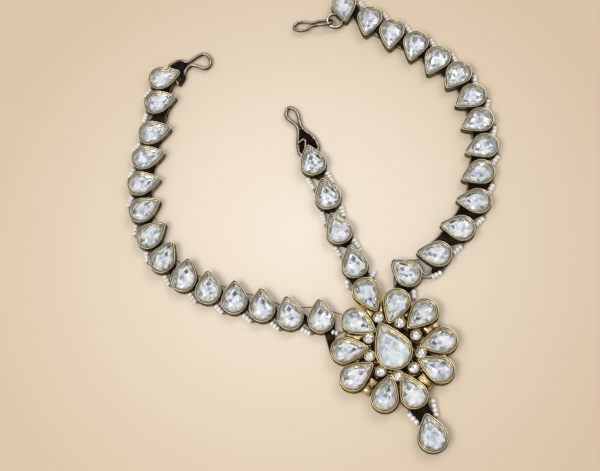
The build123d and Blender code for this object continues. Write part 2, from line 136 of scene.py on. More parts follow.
def loft(rings, caps=True):
    """Faces between rings of equal length, each a list of points."""
    count = len(rings[0])
    points = [point for ring in rings for point in ring]
    faces = []
    for level in range(len(rings) - 1):
        low, high = level * count, (level + 1) * count
        for k in range(count):
            after = (k + 1) % count
            faces.append((low + k, low + after, high + after, high + k))
    if caps:
        faces.append(tuple(range(count))[::-1])
        faces.append(tuple((len(rings) - 1) * count + k for k in range(count)))
    return points, faces


def closed_loft(rings):
    """Faces between rings that run in a circle, the last one back to the first."""
    points, faces = loft(rings + rings[:1], caps=False)
    last = len(rings) * len(rings[0])
    return points[:last], [tuple(k % last for k in face) for face in faces]


def full_turn(steps):
    """Angles of evenly spaced points round a circle."""
    return [2 * pi * k / steps for k in range(steps)]


def circle(centre, side, up, radius, sides):
    """Points of a circle in the plane of two unit vectors."""
    return [tuple(centre + side * (radius * cos(a)) + up * (radius * sin(a))) for a in full_turn(sides)]


def part_way(start, end, share):
    """Point at a share of the way from one point to another, seen from above."""
    return (start[0] + share * (end[0] - start[0]), start[1] + share * (end[1] - start[1]))


def tube(path, radius, sides=10, closed=False):
    """Round tube along a path of points; radius is one number, or a list with one for each point."""
    spots = [Vector(p) for p in path]
    count = len(spots)
    rings = []
    side = None
    for k, spot in enumerate(spots):
        before = spots[(k - 1) % count] if closed or k else spots[0]
        after = spots[(k + 1) % count] if closed or k < count - 1 else spots[-1]
        along = (after - before).normalized()
        if side is None:
            side = along.cross(Vector((0, 0, 1)))
            if side.length < 1e-3:
                side = along.cross(Vector((0, 1, 0)))
        side = (side - along * side.dot(along)).normalized()
        up = side.cross(along)
        rings.append(circle(spot, side, up, radius[k] if isinstance(radius, list) else radius, sides))
    return closed_loft(rings) if closed else loft(rings)


# -------------------- where the solids are
def loose_parts(node):
    """Corner points of each solid of a CAD node, in millimetres."""
    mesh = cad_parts[node].data
    corners = np.empty(len(mesh.vertices) * 3, np.float32)
    mesh.vertices.foreach_get("co", corners)
    corners = np.round(corners.reshape(-1, 3) / MM, 3)
    known = {}
    ids = [known.setdefault(tuple(c), len(known)) for c in corners.tolist()]
    parent = list(range(len(known)))

    def root(k):
        while parent[k] != k:
            parent[k] = parent[parent[k]]
            k = parent[k]
        return k

    for edge in mesh.edges:
        a, b = root(ids[edge.vertices[0]]), root(ids[edge.vertices[1]])
        if a != b:
            parent[a] = b
    groups = {}
    for point, k in known.items():
        groups.setdefault(root(k), []).append(point)
    return [np.array(group) for group in groups.values()]


Place = namedtuple("Place", "x y tip")


def stone_place(points, cup):
    """Centre of the round end and direction of the tip (degrees) of a stone."""
    flat = points[:, :2]
    spans = np.linalg.norm(flat[:, None] - flat[None], axis=2)
    a, b = np.unravel_index(spans.argmax(), spans.shape)
    heavy = flat.mean(0)
    base, tip = sorted((flat[a], flat[b]), key=lambda end: float(np.linalg.norm(end - heavy)))
    line = (tip - base) / np.linalg.norm(tip - base)
    centre = base + line * (cup.width / 2 - GIRDLE_INSET)
    return Place(float(centre[0]), float(centre[1]), degrees(atan2(line[1], line[0])))


def places(node, cup):
    return [stone_place(points, cup) for points in loose_parts(node)]


def node_middle(node):
    low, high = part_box(node)
    return (low + high) / 2 / MM


def cup_distance(place, point):
    """Distance of a point, seen from above, from the middle of a strand's cup."""
    x, y, _ = spot(place, 0, (STRAND_CUP.length - STRAND_CUP.width) / 2)
    return hypot(x - point.x, y - point.y)


def in_order(found, prefix, count, digits):
    """Places matched to the numbered settings that they lie in."""
    ordered = []
    for number in range(1, count + 1):
        middle = node_middle(f"{prefix}{number:0{digits}d}")
        ordered.append(min(found, key=lambda place: cup_distance(place, middle)))
    return ordered


def spot(place, x, y, z=0.0):
    """Point in the ornament of a setting's own point; +Y runs to the tip."""
    a = radians(place.tip - 90)
    return (place.x + x * cos(a) - y * sin(a), place.y + x * sin(a) + y * cos(a), z)


def tube_runs(node):
    """Ends of the middle line of each straight tube of a CAD node."""
    runs = []
    for points in loose_parts(node):
        middle = (points.min(0) + points.max(0)) / 2
        line = np.linalg.svd(points - points.mean(0), full_matrices=False)[2][0]
        reach = (points - middle) @ line
        runs.append((Vector(middle + line * reach.min()), Vector(middle + line * reach.max())))
    return runs


left_places = in_order(places("left_stones", STRAND_CUP), "left_setting_", 14, 2)
right_places = in_order(places("right_stones", STRAND_CUP), "right_setting_", 14, 2)
centre_places = in_order(places("centre_stones", STRAND_CUP), "centre_setting_", 4, 1)
STRANDS = [("left", left_places), ("right", right_places), ("centre", centre_places)]
petal_places = places("petal_stones", PETAL_CUP)
flower_place = places("flower_centre_stone", CENTRE_CUP)[0]
drop_place = places("drop_stone", DROP_CUP)[0]
accent_spots = [Vector(((p.min(0) + p.max(0)) / 2).tolist()) for p in loose_parts("accent_stones")]


# -------------------- pear outlines
TIP_ROUND = 1.2          # radius that rounds the tip of a cup's edge
LEAST_TIP_ROUND = 0.15   # and of the rings furthest inside it
TIP_CROWDING = 1.7       # how much closer an edge's points stand towards a rounded tip


def pear(cup, inset, flank_steps=12, round_steps=22, tip_round=0.0):
    """Pear outline inside a cup's edge by the inset, from the tip down its left side and round."""
    end_radius = cup.width / 2
    reach = cup.length - end_radius
    flank = FLANK_BOW * cup.width
    hub = flank - end_radius
    swing = asin((2 * flank * end_radius - end_radius**2 - reach**2) / (2 * reach * hub))
    hub_x, hub_y = hub * cos(swing), hub * sin(swing)
    radius = flank - inset
    tip_y = sqrt(radius**2 - hub_x**2) - hub_y
    tip_angle = atan2(tip_y + hub_y, hub_x)
    crowding = TIP_CROWDING if tip_round else 1.0

    def on_flank(share):
        angle = swing + (1 - (1 - share)**crowding) * (tip_angle - swing)
        return (radius * cos(angle) - hub_x, radius * sin(angle) - hub_y)

    right = [on_flank(k / flank_steps) for k in range(flank_steps)]
    left = [(-x, y) for x, y in right[::-1]]
    arc = pi + 2 * swing
    turns = [pi - swing + arc * k / round_steps for k in range(1, round_steps)]
    bottom = [((end_radius - inset) * cos(a), (end_radius - inset) * sin(a)) for a in turns]
    outline = [on_flank(1)] + left + bottom + right
    if tip_round:
        low = outline[0][1] - tip_round / sin(tip_angle)
        for k, (x, y) in enumerate(outline):
            away = hypot(x, y - low)
            if y > low and abs(x) <= away * cos(tip_angle) and away > tip_round:
                outline[k] = (x * tip_round / away, low + (y - low) * tip_round / away)
    return outline


# -------------------- materials
def new_material(name):
    material = bpy.data.materials.new(name)
    material.use_nodes = True
    tree = material.node_tree
    tree.nodes.clear()
    out = tree.nodes.new("ShaderNodeOutputMaterial")
    shader = tree.nodes.new("ShaderNodeBsdfPrincipled")
    tree.links.new(shader.outputs[0], out.inputs[0])
    return material, tree, shader


def coordinates(tree, kind="Object"):
    return tree.nodes.new("ShaderNodeTexCoord").outputs[kind]


def noise_value(tree, scale, detail=3.0, roughness=0.55):
    texture = tree.nodes.new("ShaderNodeTexNoise")
    texture.inputs["Scale"].default_value = scale
    texture.inputs["Detail"].default_value = detail
    texture.inputs["Roughness"].default_value = roughness
    tree.links.new(coordinates(tree), texture.inputs["Vector"])
    return texture.outputs["Fac"]


def ramp(tree, value, stops):
    node = tree.nodes.new("ShaderNodeValToRGB")
    elements = node.color_ramp.elements
    while len(elements) < len(stops):
        elements.new(0.5)
    for element, (position, colour) in zip(elements, stops):
        element.position = position
        element.color = (*colour, 1.0)
    tree.links.new(value, node.inputs["Fac"])
    return node.outputs["Color"]


def maths(tree, operation, a, b, clamp=False):
    node = tree.nodes.new("ShaderNodeMath")
    node.operation = operation
    node.use_clamp = clamp
    for socket, value in zip(node.inputs, (a, b)):
        if isinstance(value, (int, float)):
            socket.default_value = value
        else:
            tree.links.new(value, socket)
    return node.outputs[0]


def product(tree, first, second):
    """Two colours multiplied."""
    node = tree.nodes.new("ShaderNodeMix")
    node.data_type = "RGBA"
    node.blend_type = "MULTIPLY"
    sockets = {socket.identifier: socket for socket in node.inputs}
    sockets["Factor_Float"].default_value = 1.0
    tree.links.new(first, sockets["A_Color"])
    tree.links.new(second, sockets["B_Color"])
    return next(socket for socket in node.outputs if socket.identifier == "Result_Color")


def attribute(tree, name):
    node = tree.nodes.new("ShaderNodeAttribute")
    node.attribute_name = name
    return node


def bump(tree, shader, height, distance, strength):
    node = tree.nodes.new("ShaderNodeBump")
    node.inputs["Distance"].default_value = distance
    node.inputs["Strength"].default_value = strength
    tree.links.new(height, node.inputs["Height"])
    tree.links.new(node.outputs[0], shader.inputs["Normal"])


def around_zero(tree, value, reach):
    """A 0 to 1 value moved to lie both sides of 0, and scaled."""
    return maths(tree, "MULTIPLY", maths(tree, "SUBTRACT", value, 0.5), reach)


def antique_metal(name, bright, middle, dark):
    """Plated metal, worn bright where it is rubbed and brown where grime stays; each point's grime value
    also carries painted shade in hollows, grooves and undersides, and painted highlights where it is low on
    rims and ridges.
    """
    material, tree, shader = new_material(name)
    patches = noise_value(tree, scale=420, detail=4, roughness=0.6)
    fine = noise_value(tree, scale=2600, detail=3, roughness=0.6)
    share = around_zero(tree, patches, 0.9)
    # each point's grime with painted shade and painted highlights darkens or lightens the metal; the deepest
    # colour is the darkest painted shade
    share = maths(tree, "ADD", share, attribute(tree, "grime").outputs["Fac"])
    share = maths(tree, "ADD", share, around_zero(tree, fine, 0.16), clamp=True)
    deepest = tuple(c * 0.45 for c in dark)
    colour = ramp(tree, share, [(0.0, bright), (0.38, middle), (0.8, dark), (1.0, deepest)])
    tree.links.new(colour, shader.inputs["Base Color"])
    roughness = maths(tree, "ADD", maths(tree, "MULTIPLY", share, 0.3), 0.27)
    tree.links.new(roughness, shader.inputs["Roughness"])
    shader.inputs["Metallic"].default_value = 0.9
    bump(tree, shader, fine, distance=0.00003, strength=0.12)
    return material


setting_metal = antique_metal("setting_metal", (0.80, 0.72, 0.53), (0.44, 0.36, 0.21), (0.075, 0.052, 0.028))
flower_metal = antique_metal("flower_metal", (0.86, 0.72, 0.42), (0.56, 0.41, 0.16), (0.085, 0.050, 0.020))


def wire_with_painted_light(name, bright, middle):
    """Old wire with a painted highlight where it faces up and painted shade down its sides, and random
    patches.
    """
    material, tree, shader = new_material(name)
    surface = tree.nodes.new("ShaderNodeNewGeometry")
    split = tree.nodes.new("ShaderNodeSeparateXYZ")
    tree.links.new(surface.outputs["Normal"], split.inputs[0])
    patches = around_zero(tree, noise_value(tree, scale=500), 0.4)
    # painted light: the colour is lighter where the wire faces up and dark down its sides
    painted_side_shade = maths(tree, "SUBTRACT", 1.0, split.outputs["Z"])
    share = maths(tree, "ADD", painted_side_shade, patches, clamp=True)
    side_shade_colour = tuple(c * 0.3 for c in middle)
    colour = ramp(tree, share, [(0.0, bright), (0.08, middle), (0.2, side_shade_colour), (0.45, (0.03, 0.02, 0.012))])
    tree.links.new(colour, shader.inputs["Base Color"])
    shader.inputs["Metallic"].default_value = 0.85
    shader.inputs["Roughness"].default_value = 0.36
    bump(tree, shader, noise_value(tree, scale=2400), distance=0.00004, strength=0.7)
    return material


# hook, thread and ring wire, each with a painted highlight on top and painted shade at its sides
wire_metal = wire_with_painted_light("wire_metal", (0.62, 0.50, 0.38), (0.40, 0.30, 0.20))
wire_thread = wire_with_painted_light("wire_thread", (0.30, 0.23, 0.16), (0.13, 0.09, 0.055))
wire_bright = wire_with_painted_light("wire_bright", (0.92, 0.84, 0.72), (0.72, 0.62, 0.48))


def stone_materials():
    """Clear glass for the crown, and silver foil under the cut back, whose colour carries painted
    reflections from its drawn tints and facet shades.
    """
    glass, tree, shader = new_material("stone_glass")
    shader.inputs["Base Color"].default_value = (1.0, 1.0, 1.0, 1.0)
    shader.inputs["Transmission Weight"].default_value = 1.0
    shader.inputs["IOR"].default_value = 1.45
    roughness = maths(tree, "MULTIPLY", noise_value(tree, scale=500, detail=2), 0.05)
    tree.links.new(roughness, shader.inputs["Roughness"])
    foil, tree, shader = new_material("stone_foil")
    # the foil's colour is painted reflection: its tints, random clouds, and each facet's shade
    tint = attribute(tree, "tint").outputs["Color"]
    clouds = noise_value(tree, scale=650, detail=2)
    cloud = ramp(tree, clouds, [(0.36, (0.84, 0.86, 0.88)), (0.56, (1.0, 1.0, 1.0))])
    shade = attribute(tree, "shade").outputs["Fac"]
    facet = ramp(tree, shade, [(0.0, (0.02, 0.03, 0.05)), (1.0, (1.0, 1.0, 1.0))])
    tree.links.new(product(tree, product(tree, tint, cloud), facet), shader.inputs["Base Color"])
    shader.inputs["Metallic"].default_value = 0.35
    shader.inputs["Roughness"].default_value = 0.14
    return glass, foil


stone_glass, stone_foil = stone_materials()


def bead_material():
    material, tree, shader = new_material("seed_beads")
    patches = noise_value(tree, scale=330, detail=2)
    colour = ramp(tree, patches, [(0.3, (0.80, 0.75, 0.69)), (0.6, (0.91, 0.89, 0.84))])
    tree.links.new(colour, shader.inputs["Base Color"])
    shader.inputs["Roughness"].default_value = 0.22
    shader.inputs["Coat Weight"].default_value = 0.5
    shader.inputs["Coat Roughness"].default_value = 0.08
    bump(tree, shader, noise_value(tree, scale=1500, detail=2), distance=0.00002, strength=0.5)
    return material


def thread_material():
    """Waxed dark thread: near black, with brown patches and a twist."""
    material, tree, shader = new_material("thread")
    wave = tree.nodes.new("ShaderNodeTexWave")
    wave.wave_type = "BANDS"
    wave.bands_direction = "DIAGONAL"
    wave.inputs["Scale"].default_value = 700
    wave.inputs["Distortion"].default_value = 3.0
    tree.links.new(coordinates(tree), wave.inputs["Vector"])
    twist = maths(tree, "MULTIPLY", wave.outputs["Fac"], 0.25)
    share = maths(tree, "ADD", noise_value(tree, scale=330, detail=4, roughness=0.65), twist)
    black, brown, worn = (0.004, 0.0025, 0.0015), (0.020, 0.011, 0.006), (0.10, 0.055, 0.028)
    colour = ramp(tree, share, [(0.48, black), (0.7, brown), (0.92, worn)])
    tree.links.new(colour, shader.inputs["Base Color"])
    shader.inputs["Roughness"].default_value = 0.6
    shader.inputs["Specular IOR Level"].default_value = 0.06
    bump(tree, shader, wave.outputs["Fac"], distance=0.00006, strength=0.8)
    return material


seed_bead_material = bead_material()
thread_look = thread_material()


# -------------------- settings
UNEVEN_SCALE = 0.35      # of the dents round a cup
UNEVEN_SHARE = 0.006     # how far they move its wall, against the distance from the setting's own point
SEED_STEP = 7.3          # how far apart two cups' dents are taken
# profile of a bezel: inset from the cup's edge, height above the base (or below the rim, if negative), grime
# with painted shade: high on the foot, wall, groove and seat, low on the rolled rim and lip, which stay
# bright
Row = namedtuple("Row", "inset height grime")
BEZEL = [
    Row(-0.12, 0.00, 0.95), Row(-0.20, 0.10, 0.8), Row(-0.20, 0.48, 0.55), Row(-0.14, 0.64, 0.5),
    Row(0.00, 0.76, 0.9), Row(0.10, 0.98, 0.9), Row(0.15, 1.5, 0.5), Row(0.13, -1.25, 0.8),
    Row(0.04, -0.80, 0.95), Row(-0.01, -0.50, 0.7), Row(-0.03, -0.30, 0.3), Row(-0.01, -0.14, 0.05),
    Row(0.06, -0.03, 0.0), Row(0.15, -0.005, 0.0), Row(0.23, -0.03, 0.05), Row(0.29, -0.12, 0.45),
    Row(0.33, -0.30, 1.0), Row(0.44, -0.38, 1.0), Row(0.52, -0.30, 0.95), Row(0.57, -0.16, 0.35),
    Row(0.66, -0.08, 0.12), Row(0.78, -0.09, 0.08), Row(0.87, -0.16, 0.3), Row(0.92, -0.30, 0.85),
    Row(0.86, -0.40, 1.0),
]


def bezel_form(place, cup, seed):
    """Rings of a cup's wall from its foot over the rolled rim to the stone's seat."""
    rings, grime = [], []
    for row in BEZEL:
        height = row.height if row.height >= 0 else cup.height + row.height
        ring = []
        tip_round = max(TIP_ROUND - max(row.inset, 0) * 0.6, LEAST_TIP_ROUND)
        for x, y in pear(cup, row.inset, tip_round=tip_round):
            sway = noise.noise(Vector((x * UNEVEN_SCALE + seed * SEED_STEP, y * UNEVEN_SCALE, height * 0.2)))
            grow = 1 + UNEVEN_SHARE * sway
            ring.append(spot(place, x * grow, y * grow, height))
            grime.append(row.grime + 0.1 * sway)
        rings.append(ring)
    floor = [spot(place, x, y, cup.floor) for x, y in pear(cup, BEZEL[-1].inset, tip_round=LEAST_TIP_ROUND)]
    rings.append(floor)
    # painted shade: the cup's floor is dark
    grime.extend([1.0] * len(floor))
    points, faces = loft(rings)
    return points, faces, grime


def make_setting(node, place, cup, seed):
    shape = Shape()
    points, faces, grime = bezel_form(place, cup, seed)
    shape.add(points, faces, grime)
    piece = shape.piece(f"{node}_bezel", [setting_metal])
    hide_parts(node)


for (strand, found), digits, seed in zip(STRANDS, (2, 2, 1), (0, 20, 40)):
    for number, place in enumerate(found, 1):
        make_setting(f"{strand}_setting_{number:0{digits}d}", place, STRAND_CUP, seed + number)
make_setting("drop_setting", drop_place, DROP_CUP, 50)


# -------------------- flower
def disc_rings(centre, rows, sides):
    """Rings of a turned form: rows of radius, height and grime, which also carries painted shade."""
    turns = full_turn(sides)
    rings, grime = [], []
    for radius, height, dirt_and_shade in rows:
        rings.append([(centre[0] + radius * cos(a), centre[1] + radius * sin(a), height) for a in turns])
        grime.extend([dirt_and_shade] * sides)
    points, faces = loft(rings)
    return points, faces, grime


WEB_OUTER = 19.0
WEB_START = 5.0          # under the centre cup
WEB_TOP = 3.1
WEB_UNDER = 2.5          # its height under the cups
WEB_STEP = 0.3
WEB_SIDES = 360
POCKET_REACH = 12.8      # deep pockets lie between the cups inside this radius
POCKET_FLOOR = 1.5
FLANGE = 0.5             # metal left round each cup beside a pocket
TOP_WEB = [(-8.2, 20.4), (-8.2, 15.0), (5.2, 15.0), (5.2, 21.6)]
TOP_WEB_HEIGHT = 2.5


def outline_distance(spots, outline):
    """Distance of each spot from a closed outline, negative inside it."""
    nearest = np.full(len(spots), np.inf)
    inside = np.zeros(len(spots), bool)
    for start, end in zip(outline, np.roll(outline, -1, axis=0)):
        line = end - start
        share = np.clip(((spots - start) @ line) / (line @ line), 0, 1)
        nearest = np.minimum(nearest, np.linalg.norm(spots - start - share[:, None] * line, axis=1))
        if line[1]:
            crosses = (start[1] > spots[:, 1]) != (end[1] > spots[:, 1])
            inside ^= crosses & (spots[:, 0] < start[0] + (spots[:, 1] - start[1]) * line[0] / line[1])
    return np.where(inside, -nearest, nearest)


def cups_distance(spots):
    """Distance of each spot from the nearest cup of the flower, negative inside it."""
    outlines = [[spot(place, x, y)[:2] for x, y in pear(PETAL_CUP, 0.0)] for place in petal_places]
    outlines.append([spot(flower_place, x, y)[:2] for x, y in pear(CENTRE_CUP, 0.0)])
    found = [outline_distance(spots, np.array(outline)) for outline in outlines]
    for accent in accent_spots:
        found.append(np.linalg.norm(spots - np.array(accent)[:2], axis=1) - ACCENT_RADIUS)
    return np.min(found, axis=0)


def eased(value, low, high):
    share = np.clip((value - low) / (high - low), 0, 1)
    return share * share * (3 - 2 * share)


def web_form():
    """Cast web that joins the cups: ridges between petals, a groove round each cup, and deep pockets."""
    radii = np.arange(WEB_START, WEB_OUTER - 0.2, WEB_STEP).tolist() + [WEB_OUTER - 0.15, WEB_OUTER]
    flat = np.array([(r * cos(a), r * sin(a)) for r in radii for a in full_turn(WEB_SIDES)])
    reach = np.linalg.norm(flat, axis=1)
    away = cups_distance(flat)
    sway = np.array([noise.noise(Vector((x * 0.55, y * 0.55, 0.3))) for x, y in flat])
    fine = np.array([noise.noise(Vector((x * 1.7, y * 1.7, 4.1))) for x, y in flat])
    groove = np.exp(-((away - 0.05) / 0.2) ** 2)
    pocket = eased(away, FLANGE, FLANGE + 0.35) * (1 - eased(reach, POCKET_REACH, POCKET_REACH + 0.5))
    ridge = eased(away, 0.25, 0.8) * eased(reach, POCKET_REACH, POCKET_REACH + 0.8)
    height = WEB_TOP - 0.5 * groove + 0.55 * ridge + 0.25 * sway + 0.12 * fine
    height = height + (POCKET_FLOOR - height) * pocket
    height = np.where(away < 0, WEB_UNDER + (height - WEB_UNDER) * np.clip(1 + away / 0.4, 0, 1), height)
    height -= 0.5 * eased(reach, WEB_OUTER - 0.6, WEB_OUTER)
    # grime with painted shade: darker in the grooves round the cups and in the pockets between them, lighter
    # on the ridges as a painted highlight, with random patches
    grime = 0.5 + 0.5 * groove + 0.6 * pocket - 0.15 * ridge + 0.8 * sway + 0.4 * fine
    rings = [[(x, y, 0.0) for x, y in flat[:WEB_SIDES]]]
    for k in range(len(radii)):
        part = slice(k * WEB_SIDES, (k + 1) * WEB_SIDES)
        rings.append([(x, y, z) for (x, y), z in zip(flat[part], height[part])])
    rings.append([(x, y, 0.0) for x, y in flat[-WEB_SIDES:]])
    points, faces = closed_loft([[tuple(map(float, p)) for p in ring] for ring in rings])
    # the web's foot and outer edge are painted dark as shade
    dirt_and_shade = [0.9] * WEB_SIDES + np.clip(grime, 0, 1).tolist() + [0.8] * WEB_SIDES
    return points, [face[::-1] for face in faces], dirt_and_shade


def make_flower():
    shape = Shape()
    shape.add(*web_form())
    points, faces = loft([[(x, y, z) for x, y in TOP_WEB] for z in (0.0, TOP_WEB_HEIGHT)])
    shape.add(points, [face[::-1] for face in faces], [0.35] * len(points))
    # the back's edge: painted shade at its foot and its inner top, lighter up its side
    back = [(BACK_RADIUS - 0.1, 0.0, 0.9), (BACK_RADIUS, 0.15, 0.6), (BACK_RADIUS, 1.2, 0.4),
            (BACK_RADIUS - 0.15, BACK_THICKNESS, 0.6), (BACK_RADIUS - 0.6, BACK_THICKNESS, 0.95)]
    shape.add(*disc_rings((0, 0), back, 96))
    for number, place in enumerate(petal_places):
        shape.add(*bezel_form(place, PETAL_CUP, 60 + number))
    shape.add(*bezel_form(flower_place, CENTRE_CUP, 80))
    h, r = ACCENT_HEIGHT, ACCENT_RADIUS
    # accent cups: the rim stays bright, with painted shade inside and down the outside to the foot
    cup = [
        (r, BACK_THICKNESS - 0.2, 1.0), (r - 0.05, h - 1.2, 0.95), (r - 0.02, h - 0.5, 0.6),
        (r - 0.03, h - 0.15, 0.1), (r - 0.10, h, 0.0), (r - 0.18, h - 0.02, 0.15),
        (r - 0.24, h - 0.14, 0.7), (r - 0.26, ACCENT_FLOOR, 1.0),
    ]
    for accent in accent_spots:
        shape.add(*disc_rings(accent, cup, 24))
    piece = shape.piece("flower_metalwork", [flower_metal])
    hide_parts("flower_setting")


make_flower()


# -------------------- stones
# foil tints with painted reflections, greys among them as painted shade, and how often each is drawn
MARGIN_TINTS = [
    ((0.90, 0.94, 0.88), 4), ((0.74, 0.78, 0.70), 4), ((0.50, 0.54, 0.47), 3),
    ((1.0, 1.0, 0.99), 4), ((0.86, 0.78, 0.94), 1),
]
MIDDLE_TINTS = [
    ((1.0, 1.0, 1.0), 8), ((0.88, 0.92, 0.96), 4), ((0.90, 0.83, 1.0), 2),
    ((0.76, 0.94, 0.86), 1), ((0.62, 0.66, 0.72), 3),
]
HEART_TINTS = [((1.0, 1.0, 1.0), 6), ((0.82, 0.86, 0.92), 3), ((0.5, 0.55, 0.62), 2)]
PINK = (1.0, 0.87, 0.85)
CYAN = (0.95, 1.0, 1.0)
PLAIN = (1.0, 1.0, 1.0)
# painted reflections: how light each foil facet is drawn, and the darker ones set beside the tip
FACET_SHADES = [1.0, 1.0, 1.0, 1.0, 1.0, 1.0, 0.9, 0.9, 0.76, 0.76, 0.56, 0.34]
TIP_SHADES = [0.5, 0.3, 0.18, 0.1]
GIRDLE_POINTS = 16       # corners of each stone's outline
TABLE_SHARE = 0.56       # width of the flat top, against the girdle's; 0.58 in the solids
ACCENT_TABLE_SHARE = 0.52    # 0.55 in the solids
BACK_SHARE = 0.56        # widths of the two rings of corners in the foil back
CORE_SHARE = 0.22


def drawn_tints(draw, tints, count, wash):
    pool = [colour for colour, weight in tints for _ in range(weight)]
    return [tuple(c * w for c, w in zip(draw.choice(pool), wash)) for _ in range(count)]


def cut_form(place, outline, girdle, crown, table_share, depth, draw, lift=0.0, wash=PLAIN):
    """Cut stone: table, star, kite and girdle facets above, and a faceted foil back below.
    The outline has GIRDLE_POINTS corners, from the tip. Lift makes its foil lighter and wash tints it."""
    count = GIRDLE_POINTS
    half, quarter = count // 2, count // 4
    focus_y = sum(y for _, y in outline) / count

    def ring(share, height, picks):
        corners = [outline[k] for k in picks]
        return [spot(place, x * share, focus_y + (y - focus_y) * share, height) for x, y in corners]

    def shaken(corners, reach):
        return [(x, y, z + draw.uniform(-reach, reach)) for x, y, z in corners]

    table = ring(table_share, girdle + crown, range(0, count, 2))
    middle = ring((1 + table_share) / 2 + 0.05, girdle + crown * 0.52, range(1, count, 2))
    edge = ring(1.0, girdle, range(count))
    low = ring(1.0, girdle - 0.12, range(count))
    back = shaken(ring(BACK_SHARE, girdle - depth * 0.6, range(0, count, 2)), 0.12)
    core = shaken(ring(CORE_SHARE, girdle - depth * 0.92, range(1, count, 4)), 0.05)
    points = table + middle + edge + low + back + core
    # where each ring's corners start; the table's start at 0
    middle_at, edge_at, low_at = half, 2 * half, 2 * half + count
    back_at, core_at = 2 * half + 2 * count, 3 * half + 2 * count
    faces = [tuple(range(half))]
    slots = [0]
    for k in range(half):
        after, before = (k + 1) % half, (k - 1) % half
        faces.append((after, k, middle_at + k))
        faces.append((k, middle_at + before, edge_at + 2 * k, middle_at + k))
        faces.append((middle_at + k, edge_at + 2 * k, edge_at + 2 * k + 1))
        faces.append((middle_at + k, edge_at + 2 * k + 1, edge_at + (2 * k + 2) % count))
        slots += [0, 0, 1, 1]
    for k in range(count):
        after = (k + 1) % count
        faces.append((edge_at + k, low_at + k, low_at + after, edge_at + after))
        slots.append(1)
    first = len(faces)
    for k in range(half):
        after = (k + 1) % half
        faces.append((low_at + 2 * k, back_at + k, low_at + 2 * k + 1))
        faces.append((low_at + 2 * k + 1, back_at + k, back_at + after))
        faces.append((low_at + 2 * k + 1, back_at + after, low_at + (2 * k + 2) % count))
    for k in range(quarter):
        after = (k + 1) % quarter
        faces.append((back_at + 2 * k, core_at + k, back_at + 2 * k + 1))
        faces.append((back_at + 2 * k + 1, core_at + k, core_at + after))
        faces.append((back_at + 2 * k + 1, core_at + after, back_at + (2 * k + 2) % half))
    faces.append(tuple(core_at + k for k in range(quarter)))
    slots += [1] * (len(faces) - first)
    # painted reflections: tints for the foil's corners, greyer at the margins and whiter in the middle and
    # heart, and a shade for each facet, darkest beside the tip
    tint = drawn_tints(draw, MARGIN_TINTS, 2 * half + 2 * count, wash)
    tint += drawn_tints(draw, MIDDLE_TINTS, half, wash)
    tint += drawn_tints(draw, HEART_TINTS, quarter, wash)
    tint = [tuple(c + (1 - c) * lift for c in colour) for colour in tint]
    shade = [draw.choice(FACET_SHADES) for _ in faces]
    for k in (first, first + 3 * half, first + 3 * half + 3 * quarter - 1):
        shade[k] = draw.choice(TIP_SHADES)
    shade = [value + (1 - value) * lift for value in shade]
    return points, [face[::-1] for face in faces], None, slots, tint, shade


def make_stones(name, node, found, cup, crown, seed, lift=0.0, wash=PLAIN):
    draw = random.Random(seed)
    shape = Shape()
    outline = pear(cup, GIRDLE_INSET, flank_steps=4, round_steps=8)
    girdle = cup.height - GIRDLE_DEPTH
    depth = girdle - cup.floor - STONE_PLAY
    for place in found:
        shape.add(*cut_form(place, outline, girdle, crown, TABLE_SHARE, depth, draw, lift, wash))
    piece = shape.piece(name, [stone_glass, stone_foil], smooth=False, tinted=True)
    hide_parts(node)


for seed, (strand, found) in enumerate(STRANDS, 11):
    make_stones(f"{strand}_cut_stones", f"{strand}_stones", found, STRAND_CUP, CROWN_HEIGHT, seed)
make_stones("petal_cut_stones", "petal_stones", petal_places, PETAL_CUP, CROWN_HEIGHT, 14)
make_stones("flower_cut_stone", "flower_centre_stone", [flower_place], CENTRE_CUP, CENTRE_CROWN_HEIGHT, 15,
            lift=0.4, wash=CYAN)
make_stones("drop_cut_stone", "drop_stone", [drop_place], DROP_CUP, CROWN_HEIGHT, 16)


def make_accents():
    draw = random.Random(17)
    shape = Shape()
    turns = full_turn(GIRDLE_POINTS)
    outline = [(ACCENT_STONE_RADIUS * cos(a), ACCENT_STONE_RADIUS * sin(a)) for a in turns]
    crown = ACCENT_CROWN * ACCENT_CROWN_SHARE
    depth = ACCENT_GIRDLE - ACCENT_FLOOR - STONE_PLAY
    for accent in accent_spots:
        place = Place(accent.x, accent.y, draw.uniform(0, 360))
        shape.add(*cut_form(place, outline, ACCENT_GIRDLE, crown, ACCENT_TABLE_SHARE, depth, draw,
                            lift=0.6, wash=PINK))
    piece = shape.piece("accent_cut_stones", [stone_glass, stone_foil], smooth=False, tinted=True)
    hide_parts("accent_stones")


make_accents()


# -------------------- seed beads
BEAD_RADIUS = 1.02
BEAD_PITCH = 1.6
BEAD_HOLE_RADIUS = 0.32
BEAD_SIDES = 14
BEAD_STEPS = 8           # sections over its outside
BEAD_FULLNESS = 0.6      # power of a bead's round outline; under 1, its side is flatter
BEAD_MOUTH = 0.12        # share of half a turn that is left open at each end for the hole
BEAD_MOUTH_DEPTH = 0.12  # from there to where the hole is narrow
BEAD_SPARE = 0.5         # added to a run before it is divided into beads
BEAD_OVERHANG = 0.15     # how far they then reach past its ends
BEAD_SHIFT = 0.06        # how far each strays from the thread
BEAD_LEAN = 0.1


